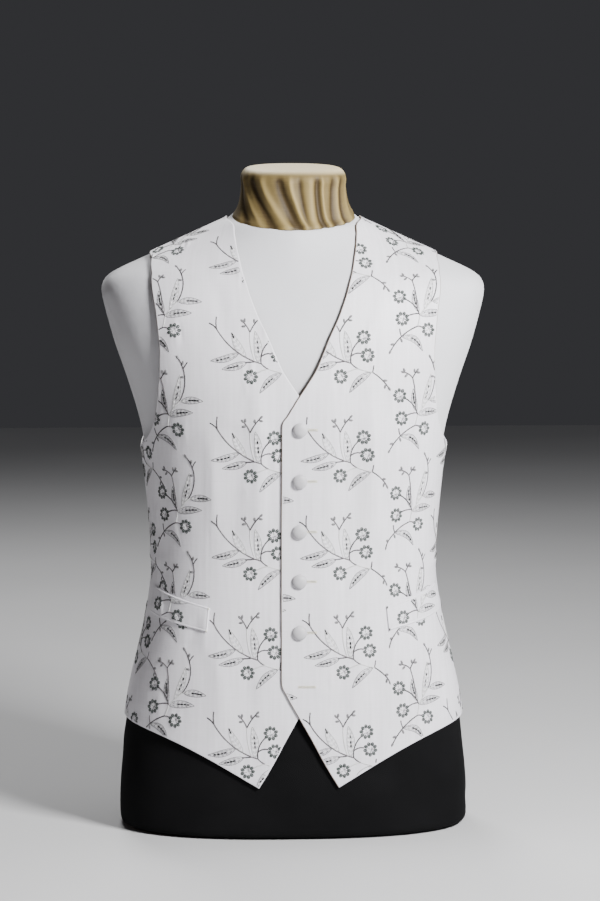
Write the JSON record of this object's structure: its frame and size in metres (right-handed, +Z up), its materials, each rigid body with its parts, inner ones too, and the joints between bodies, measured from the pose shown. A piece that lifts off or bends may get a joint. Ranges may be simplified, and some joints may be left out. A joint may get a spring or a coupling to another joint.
{
  "type": "embroidered waistcoat on a dress form",
  "caption": "Fitted single-breasted silk waistcoat with a deep V neck, pointed fronts, welt pockets and covered buttons, worn by a limbless dress form.",
  "frame": {"origin": "middle of the form's flat underside", "axes": "+Z up through the neck, -Y towards the viewer in front of the buttons, +X towards the wearer's left"},
  "size_m": [0.4426, 0.2644, 0.7713],
  "materials": {
    "embroidered_silk": "ivory silk with a fine slub",
    "back_satin": "glossy white satin",
    "button_silk": "ivory silk stretched over a dome",
    "form_jersey": "matt white jersey",
    "form_black_cloth": "dull black cloth",
    "neck_silk": "gold silk taffeta"
  },
  "bodies": {
    "root": {"front_left": "embroidered_silk", "front_right": "embroidered_silk", "back_left": "back_satin", "back_right": "back_satin", "welt_left": "embroidered_silk", "welt_right": "embroidered_silk", "button_1": "button_silk", "button_2": "button_silk", "button_3": "button_silk", "button_4": "button_silk", "button_5": "button_silk", "form_torso": "form_jersey", "form_hip": "form_black_cloth", "form_neck": "neck_silk"}
  },
  "joints": []
}
